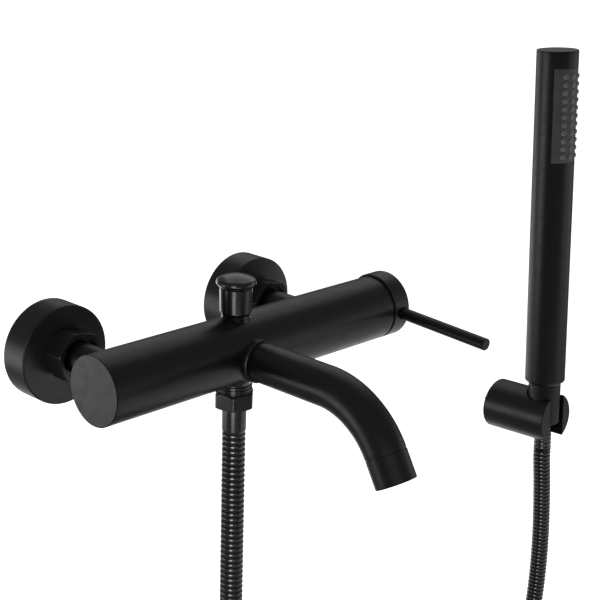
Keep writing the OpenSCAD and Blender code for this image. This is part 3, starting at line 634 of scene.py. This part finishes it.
def add_handle():
    """The handle cap, cut back at a slant behind so that it can swing, with a hole for the lever, and the
    lever itself."""
    pivot_x, lever_x, lever_r, hole_r, reach = 112, 125, 3.75, 4.1, 85.1
    low, high = span("handle_cap")
    back, front, radius = BODY_RIGHT + 1, high.x, (high.z - low.z) / 2
    swing = math.radians(LEVER_SWING)
    vertices, faces = revolve([
        (back, 0, 0), (back, 7.4, .2), (front - 2.9, 8.6, .4), (front - 2.9, 17, .6),
        (back, 17.6, .2), (back, radius, .5), (front, radius, .65), (front, 0, 0)], sides=FINE_SIDES)
    turned = along(X_AXIS)
    slanted = []
    for v in vertices:
        x, y, z = turned @ Vector(v)
        slant = pivot_x + (BODY_RIGHT + .5 - pivot_x + y * math.sin(swing)) / math.cos(swing)
        slanted.append((x + max(0.0, slant - back) * (front - x) / (front - back), y, z))
    frame_place = in_lever_frame()
    hole = placed(revolve([(-30, 0, 0), (-30, hole_r, 0), (-19, hole_r, 0), (-19, 0, 0)], sides=64),
                  frame_place @ along(Y_AXIS, (lever_x, 0, 0)))
    piece("handle_disc", (slanted, faces), "matt_black", "handle", ("handle_cap",), frame_place,
          cuts=[hole])
    piece("lever", revolve([
        (-reach, 0, 0), (-reach, lever_r, .5), (-18, lever_r, .3), (-18, 2.5, 0), (-4.02, 2.5, 0),
        (-4.02, 0, 0)], sides=72),
        "matt_black", "handle", ("lever_pin",), frame_place @ along(Y_AXIS, (lever_x, 0, 0)))


def add_knob():
    """The diverter's knob: a barrel with a turned-in foot, and a wide, low domed cap with a round rim."""
    place = along(Z_AXIS, (0, BODY_Y, 0))
    low, high = span("knob_barrel")
    foot, split, r = low.z, high.z, (high.x - low.x) / 2
    piece("knob_grip", revolve([
        (foot, 0, 0), (foot, r - 1.5, .5), (foot + 1.5, r - .3, .6), (split - .3, r, .3),
        (split, r - .3, .1), (split, 0, 0)]), "gloss_black", "knob", ("knob_barrel",), place)
    low, high = span("knob_cap")
    foot, top, r = low.z, high.z, (high.x - low.x) / 2
    rim_top, rim_r, dome, steps = foot + 4.8, r - .65, top - foot - 4.8, 12
    outline = [(foot, 0, 0), (foot, r - 2.6, 0), (foot + .3, r - 2.1, .15), (foot + 1.3, r - 1, .5),
               (foot + 2.6, r - .05, .5), (foot + 3.6, r - .1, .6)]
    outline += [(rim_top + dome * (1 - (k / steps) ** 2), rim_r * k / steps, 1.2 if k == steps else 0)
                for k in reversed(range(steps + 1))]
    piece("knob_top", revolve(outline), "gloss_black", "knob", ("knob_cap",), place, sharp=60)


SPOUT_BEND_R, SPOUT_BEND, SPOUT_STRAIGHT = 51.0, 60.0, 148.5
SPOUT_R, COLLAR_LENGTH = 11.6, 16.5


def add_spout():
    """The spout: straight out of its ring, round one bend, and an aerator collar behind a fine seam."""
    r, lip, ring_front = SPOUT_R, 0.5, 0.95
    straight_steps, bend_steps = 13, 40
    start = BODY_Y - BODY_R - ring_front
    line = [(0, start + 4, 0), (0, start - .02, 0), (0, start - lip, 0)]
    radii = [r - 1.5, r - .35, r]
    for k in range(1, straight_steps):
        line.append((0, start - lip - (SPOUT_STRAIGHT + start - lip) * k / straight_steps, 0))
        radii.append(r)
    for k in range(bend_steps + 1):
        angle = math.radians(SPOUT_BEND * k / bend_steps)
        line.append((0, -SPOUT_STRAIGHT - SPOUT_BEND_R * math.sin(angle),
                     SPOUT_BEND_R * (math.cos(angle) - 1)))
        radii.append(r)
    radii[-1] = r - .12
    pipe = swept(np.array(line, float), radii, SIDES)
    piece("spout_pipe", pipe, "matt_black", "mixer", ("spout_tube",))
    tip = (Matrix.Translation((0, -SPOUT_STRAIGHT, -SPOUT_BEND_R))
           @ Matrix.Rotation(math.radians(SPOUT_BEND), 4, "X")
           @ Matrix.Translation((0, 0, SPOUT_BEND_R)) @ along(Y_AXIS))
    piece("aerator_collar", revolve([
        (-COLLAR_LENGTH, 9.6, .25), (-COLLAR_LENGTH, r, .55), (-.55, r, .12), (-.4, r - .35, 0),
        (0, r - .35, 0), (0, 8.2, 0), (-4, 8.2, 0), (-4, 9.6, 0)], closed=True),
        "matt_black", "mixer", ("aerator_housing",), tip)


def add_spring(name, node, turns, wire, axis):
    """A coil spring with closed end turns."""
    low, high = span(node)
    centre, size = (low + high) / 2, high - low
    length = abs(size.dot(Vector(axis)))
    radius, rise, end_rise = size.x / 2 - wire, length / 2 - wire, 2.1 * wire
    turn = np.linspace(0.0, turns, turns * 20 + 1)
    height = np.interp(turn, [0, 1, turns - 1, turns], [-rise, end_rise - rise, rise - end_rise, rise])
    line = np.stack([radius * np.cos(math.tau * turn), radius * np.sin(math.tau * turn), height], axis=1)
    coil = swept(line, [wire] * len(line), 8)
    spring = piece(name, coil, "stainless", "mixer", (node,), along(axis, centre), sharp=60)
    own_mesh(spring)


def add_springs():
    """The diverter's return spring and the springs of the two check valves."""
    add_spring("diverter_coil_spring", "diverter_spring", 7, 0.45, Z_AXIS)
    for side in ("left", "right"):
        add_spring(f"check_coil_spring_{side}", f"check_spring_{side}", 5, 0.4,
                   TO_ROOM)


def add_hose_connection():
    """Below the body: a ribbed collar, the hose nut and the crimped ferrule."""
    place = along(Z_AXIS, (0, BODY_Y, 0))
    low, high = span("hose_nut")
    foot, top = low.z, high.z
    pitch, ribs = 2.0, 3
    corners = [(foot + 2.4, 0, 0), (foot + 2.4, 8.6, 0), (top, 8.6, 0), (top, 9.6, 0)]
    for i in range(ribs):
        corners += [(top + .4 + i * pitch, 10.5, .45), (top + 1.4 + i * pitch, 9.6, .3)]
    corners += [(top + 1.7 + ribs * pitch, 10.4, .3), (top + 9.5, 10.4, 0), (top + 9.5, 0, 0)]
    piece("ribbed_collar", revolve(corners), "gloss_black", "mixer", ("outlet_nipple",), place)
    flats = 21.4
    corner = flats / 2 / math.cos(math.radians(30)) + .1
    nut = revolve([
        (foot, 6.25, 0), (foot, corner - 1, .3), (foot + .75, corner, .3), (top - 1, corner, .4),
        (top, corner - 1.4, .3), (top, 8.65, 0), (foot + .9, 8.65, 0), (foot + .9, 6.25, 0)],
        closed=True, sides=FINE_SIDES, limit=hexagon(flats, 43.5))
    piece("hose_hex", nut, "gloss_black", "mixer", ("hose_nut",), place)
    low, high = span("hose_ferrule")
    r = (high.x - low.x) / 2
    piece("crimped_ferrule", revolve([
        (low.z, 6.1, .2), (low.z, r - .35, .3), (low.z + 1.1, r - .15, .3), (low.z + 1.5, r, .2),
        (foot - .02, r, .2), (foot - .02, r - 1.05, 0), (high.z, r - 1.05, 0), (high.z, 4, 0),
        (low.z + 1, 4, 0), (low.z + 1, 6.1, 0)], closed=True),
        "gloss_black", "mixer", ("hose_ferrule",), place)


# ---------------------------------------------------------------- hand shower and holder

STICK_LEAN, STICK_SIDE_LEAN = 2.5, 0.8
STICK_BASE = (376.5, -44.5, -153.2)
STICK = (Matrix.Translation(STICK_BASE) @ Matrix.Rotation(math.radians(-STICK_SIDE_LEAN), 4, "Y")
         @ Matrix.Rotation(math.radians(-STICK_LEAN), 4, "X"))
STICK_R = 15.8
STICK_FOOT, STICK_TOP = 31.8, 293.2
PLATE_TOP, PLATE_FOOT = STICK_TOP - 12.65, STICK_TOP - 83.8
PLATE_HALF_ANGLE, PLATE_TURN = 58.3, 5.8


def add_stick():
    """The hand shower's tube with the window of its nozzle plate, and its end cap behind a fine seam."""
    ease, wall, seam = 1.5, 1.8, 1.5
    window_steps, other_steps, foot_steps = 64, 116, 6
    floor_r = STICK_R - 2.4
    top = STICK_TOP - seam
    heights = [(STICK_FOOT, STICK_R - 1.85)]
    for k in range(foot_steps + 1):
        turn = math.radians(90 * k / foot_steps)
        heights.append((STICK_FOOT + ease * (1 - math.cos(turn)) * .9,
                        STICK_R - ease * (1 - math.sin(turn))))
    heights += [(STICK_FOOT + 4, STICK_R), (PLATE_FOOT - 1, STICK_R), (PLATE_FOOT, STICK_R),
                (PLATE_TOP, STICK_R), (PLATE_TOP + 1, STICK_R), (top - 1, STICK_R), (top - .06, STICK_R),
                (top, STICK_R - .06), (top, STICK_R - wall)]
    window = [i for i, (h, _) in enumerate(heights) if h in (PLATE_FOOT, PLATE_TOP)]
    step = 2 * PLATE_HALF_ANGLE / window_steps
    middle_angle = -90 - PLATE_TURN
    angles = [middle_angle + PLATE_HALF_ANGLE - step * k for k in range(window_steps + 1)]
    rest = 360 - 2 * PLATE_HALF_ANGLE
    angles += [middle_angle - PLATE_HALF_ANGLE - rest * k / other_steps for k in range(1, other_steps)]
    vertices, faces = [], []
    for angle in angles:
        c, s = math.cos(math.radians(angle)), math.sin(math.radians(angle))
        vertices.extend((r * c, r * s, h) for h, r in heights)
    rows, cols = len(heights), len(angles)
    for k in range(cols):
        a, b = k * rows, (k + 1) % cols * rows
        for i in range(rows - 1):
            if i == window[0] and k < window_steps:
                continue
            faces.append((a + i, b + i, b + i + 1, a + i + 1))
    rim = [k * rows + window[0] for k in range(window_steps + 1)]
    rim += [k * rows + window[1] for k in reversed(range(window_steps + 1))]
    start = len(vertices)
    for i in rim:
        x, y, z = vertices[i]
        vertices.append((x * floor_r / STICK_R, y * floor_r / STICK_R, z))
    for i in range(len(rim)):
        j = (i + 1) % len(rim)
        faces.append((rim[i], rim[j], start + j, start + i))
    piece("stick_body", (vertices, faces), "matt_black", "hand_shower", ("stick_tube",), STICK)
    piece("stick_top", revolve([
        (STICK_TOP - 7, 0, 0), (STICK_TOP - 7, STICK_R - 1.85, 0), (top, STICK_R - 1.85, 0),
        (top + .04, STICK_R - .2, 0), (top + .25, STICK_R, .06), (STICK_TOP, STICK_R, .5),
        (STICK_TOP, 0, 0)], sides=FINE_SIDES),
        "matt_black", "hand_shower", ("stick_end_cap",), STICK)


def add_nozzle_plate():
    """The silicone plate: a curved pad with eased edges and rows of rounded nozzles, each with a hole. The
    nozzle tips take a lighter grey, a painted highlight.
    """
    rows, columns = 11, 3
    row_pitch, column_step = 6.0, 25.3
    inner, face, proud, gap = STICK_R - 2.4, STICK_R - .05, 1.15, .15
    half = PLATE_HALF_ANGLE - .6
    foot, top = PLATE_FOOT + gap, PLATE_TOP - gap
    outline = [(foot, inner), (foot, face - .3), (foot + .1, face - .1), (foot + .3, face)]
    outline += [(foot + (top - foot) * k / 10, face) for k in range(1, 10)]
    outline += [(top - .3, face), (top - .1, face - .1), (top, face - .3), (top, inner)]
    steps = 64
    edge = math.degrees(.3 / face)
    angles = [-half, -half + edge * .3, -half + edge]
    angles += [-half + 2 * half * k / steps for k in range(1, steps)]
    angles += [half - edge, half - edge * .3, half]
    drop = {0: .3, 1: .1, len(angles) - 2: .1, len(angles) - 1: .3}
    vertices, faces = [], []
    for k, angle in enumerate(angles):
        c, s = math.cos(math.radians(angle - 90)), math.sin(math.radians(angle - 90))
        for h, r in outline:
            r = min(r, face - drop.get(k, 0))
            vertices.append((r * c, r * s, h))
    n = len(outline)
    for k in range(len(angles) - 1):
        for i in range(n):
            j = (i + 1) % n
            faces.append((k * n + i, (k + 1) * n + i, (k + 1) * n + j, k * n + j))
    faces.append(tuple(range(n)))
    faces.append(tuple((len(angles) - 1) * n + i for i in reversed(range(n))))
    nozzle = revolve([
        (-.5, 0, 0), (-.5, 2.25, 0), (.1, 2.1, .2), (proud, 1.45, .45), (proud, .62, .12),
        (proud - .5, .5, 0), (proud - .5, 0, 0)], sides=28, steps=4)
    shapes = [(vertices, faces)]
    for row in range(rows):
        for column in range(columns):
            height = (PLATE_TOP + PLATE_FOOT) / 2 - 0.5 + (row - (rows - 1) / 2) * row_pitch
            place = (Matrix.Rotation(math.radians((column - (columns - 1) / 2) * column_step), 4, "Z")
                     @ along(TO_ROOM, (0, -face, height)))
            shapes.append(placed(nozzle, place))
    turned = STICK @ Matrix.Rotation(math.radians(-PLATE_TURN), 4, "Z")
    pad = piece("nozzle_pad", merged(*shapes), "grey_silicone", "hand_shower", ("nozzle_plate",), turned,
                sharp=50)
    # Second material: the lighter grey of the nozzle tips, a painted highlight; faces beyond the start
    # radius below take it
    pad.data.materials.append(NOZZLE_HIGHLIGHT_MATERIAL)
    to_stick = STICK.inverted()
    painted_highlight_start = face + .25
    for polygon in pad.data.polygons:
        centre = to_stick @ (polygon.center / MM)
        if math.hypot(centre.x, centre.y) > painted_highlight_start:
            polygon.material_index = 1


def add_cone_nut():
    """The nut that sits in the holder, and the ribbed end of the hose below it."""
    foot, top, foot_r, top_r = -3, 28.5, 12.55, 12.75
    piece("hose_cone", revolve([
        (foot, 7.5, .15), (foot, foot_r, .7), (top, top_r, .4), (top + 1.5, top_r - .5, .2),
        (top + 1.5, 10.53, 0), (15.8, 10.53, 0), (15.8, 8.3, 0), (11.9, 8.3, 0), (11.9, 7.5, 0)],
        closed=True), "matt_black", "hand_shower", ("cone_nut",), STICK)
    end, rings = -26.5, 7
    outline = [(end, 0, 0), (end, RING_INNER, 0)]
    for i in range(rings):
        outline += [(end + (i + phase) * RING_PITCH, ring_radius(phase), 0)
                    for phase in (.06, .2, .35, .5, .65, .8, .94)]
    sleeve = end + rings * RING_PITCH + .2
    outline += [(sleeve, 7.3, .1), (12, 7.3, .2), (12, 8.2, 0), (15, 8.2, 0), (15, 0, 0)]
    piece("hose_end", revolve(outline, sides=64), "black_hose", "hose_end", ("hose_end_fitting",), STICK,
          sharp=70)


def bar(start, end, radius, end_radius=None):
    """A closed round bar along Z, as a cutter."""
    return revolve([(start, 0, 0), (start, radius, 0), (end, end_radius or radius, 0), (end, 0, 0)])


def block(low, high):
    """A closed box between two corners, as a cutter."""
    vertices = [(x, y, z) for x in (low[0], high[0]) for y in (low[1], high[1])
                for z in (low[2], high[2])]
    return vertices, [(0, 1, 3, 2), (4, 6, 7, 5), (0, 4, 5, 1), (2, 3, 7, 6), (0, 2, 6, 4), (1, 5, 7, 3)]


def add_holder():
    """The wall holder: a thick bar, square to the hand shower, with a pocket for its nut and a slot."""
    low, high = span("holder_body")
    wall_y, length, radius, slot = high.y, 56.9, 19.9, 9.3
    x, z = (low.x + high.x) / 2, STICK_BASE[2]
    place = (Matrix.Translation((x, wall_y, z))
             @ Matrix.Rotation(math.radians(-STICK_LEAN), 4, "X") @ along(Y_AXIS))
    shell = revolve([(-length, 0, 0), (-length, radius, .7), (3, radius, 0), (3, 0, 0)], sides=FINE_SIDES)
    behind_wall = block((x - 40, wall_y, z - 40), (x + 40, wall_y + 10, z + 40))
    wall_recess = placed(bar(-14, 1, 15.05), along(Y_AXIS, (x, wall_y, z)))
    pocket = placed(bar(-3.1, 33.5, 13.05, 14.3), STICK)
    hose_hole = placed(bar(-30, 0, slot), STICK)
    hose_slot = placed(block((-slot, -40, -30), (slot, 0, 60)), STICK)
    piece("wall_holder", shell, "matt_black", "mixer", ("holder_body",), place,
          cuts=[behind_wall, wall_recess, pocket, hose_hole, hose_slot])


# ---------------------------------------------------------------- studio

def add_area_light(name, place, target, size, radiance, only=()):
    """A soft rectangular light that looks at a target, in metres, with the given brightness of its face.
    With only, it lights just the named pieces."""
    data = bpy.data.lights.new(name, "AREA")
    data.shape = "RECTANGLE"
    data.size, data.size_y = size
    data.energy = radiance * math.pi * size[0] * size[1]
    light = bpy.data.objects.new(name, data)
    light.location = place
    light.rotation_mode = "QUATERNION"
    light.rotation_quaternion = (Vector(target) - Vector(place)).to_track_quat("-Z", "Y")
    light.visible_camera = False
    bpy.context.scene.collection.objects.link(light)
    if only:
        lit = bpy.data.collections.new(f"lit_by_{name}")
        for piece_name in only:
            lit.objects.link(bpy.data.objects[piece_name])
        light.light_linking.receiver_collection = lit


def add_floor():
    """A plain pale floor below the lowest point of the hose."""
    half, height = 12.0, cad_box[0].z - 0.003
    corners = [(-half, -half, height), (half, -half, height), (half, half, height), (-half, half, height)]
    mesh = bpy.data.meshes.new("floor")
    mesh.from_pydata(corners, [], [(0, 1, 2, 3)])
    floor = bpy.data.objects.new("floor", mesh)
    bpy.context.scene.collection.objects.link(floor)
    material, nodes, links, surface, place = shader("pale floor")
    links.new(two_tones(nodes, links, noise(nodes, links, place, 0.004), (.9, .9, .9), (.93, .93, .93)),
              surface.inputs["Base Color"])
    surface.inputs["Roughness"].default_value = 0.9
    surface.inputs["Specular IOR Level"].default_value = 0.1
    surface.inputs["Emission Color"].default_value = (1, 1, 1, 1)
    surface.inputs["Emission Strength"].default_value = 1.1
    mesh.materials.append(material)
    floor.visible_glossy = False
    floor.visible_diffuse = False


ROOM_STRENGTH = 0.14


def add_world():
    """White surroundings behind everything, and a dimmer room for the light and the reflections."""
    world = bpy.data.worlds.new("studio")
    world.use_nodes = True
    bpy.context.scene.world = world
    nodes, links = world.node_tree.nodes, world.node_tree.links
    seen = nodes["Background"]
    seen.inputs["Color"].default_value = (1, 1, 1, 1)
    seen.inputs["Strength"].default_value = 1.0
    room = nodes.new("ShaderNodeBackground")
    room.inputs["Color"].default_value = (1, 1, 1, 1)
    room.inputs["Strength"].default_value = ROOM_STRENGTH
    rays = nodes.new("ShaderNodeLightPath")
    mix = nodes.new("ShaderNodeMixShader")
    links.new(rays.outputs["Is Camera Ray"], mix.inputs["Fac"])
    links.new(room.outputs["Background"], mix.inputs[1])
    links.new(seen.outputs["Background"], mix.inputs[2])
    links.new(mix.outputs["Shader"], nodes["World Output"].inputs["Surface"])


KNOB_PIECES = ("knob_grip", "knob_top")
HOSE_PIECES = ("ribbed_collar", "hose_hex", "crimped_ferrule", "wound_hose", "hose_end")
WALL_PIECES = ("wall_rosette_left", "wall_rosette_right", "hex_union_left", "hex_union_right")
SPOUT_PIECES = ("spout_pipe", "aerator_collar")
EDGE_PIECES = WALL_PIECES + ("spout_flange", "handle_disc")


def add_studio():
    """Large soft lights round the object, cards that lie low, and small ones that light chosen pieces."""
    bpy.context.scene.view_settings.view_transform = "Standard"
    add_world()
    add_floor()
    mixer_middle = (0.0, -0.08, 0.0)
    stick_middle = (0.37, -0.04, 0.0)
    card_height = cad_box[0].z + 0.02
    add_area_light("above_behind", (0.78, 0.5, 0.9), mixer_middle, (1.1, 1.3), 0.45)
    add_area_light("left_behind", (-1.0, 0.75, -0.25), mixer_middle, (0.9, 0.6), 1.85)
    add_area_light("behind", (0.3, 1.2, -0.1), mixer_middle, (0.9, 0.6), 0.8)
    add_area_light("right", (1.45, -0.62, 0.05), stick_middle, (0.5, 0.9), 0.6)
    add_area_light("front_right", (0.85, -0.95, -0.1), mixer_middle, (0.6, 0.6), 0.5)
    add_area_light("low_front", (0.5, -0.42, card_height), (0.42, -0.38, 0.0), (0.9, 0.6), 0.45)
    add_area_light("low_behind", (0.45, 0.75, card_height), (0.4, 0.7, 0.0), (1.6, 0.9), 0.9)
    add_area_light("edge_box", (-0.82, -0.66, 0.0), mixer_middle, (0.5, 0.84), 2.4, EDGE_PIECES)
    add_area_light("knob_box", (-0.84, -0.63, 0.0), mixer_middle, (0.4, 0.84), 2.4, KNOB_PIECES)
    add_area_light("knob_card", (-0.35, -0.45, card_height), (-0.3, -0.4, 0.0), (0.7, 0.6), 3.0,
                   KNOB_PIECES)
    add_area_light("hose_box", (-0.8, -0.67, 0.0), mixer_middle, (0.46, 0.84), 7.0, HOSE_PIECES)
    add_area_light("wall_card", (0.85, -0.85, -0.35), mixer_middle, (0.8, 0.6), 0.65, WALL_PIECES)
    add_area_light("spout_card", (-0.5, -0.95, 0.1), mixer_middle, (0.9, 0.7), 0.35, SPOUT_PIECES)
    add_area_light("hose_card", (-0.5, -0.95, 0.0), mixer_middle, (0.9, 0.84), 0.5, HOSE_PIECES)


add_camera()
hose, hose_path, hose_length = add_hose()
strap = add_strap()
paint_cad_nodes()
add_body()
add_inlets()
add_handle()
add_knob()
add_spout()
add_hose_connection()
add_springs()
add_stick()
add_nozzle_plate()
add_cone_nut()
add_holder()
add_studio()
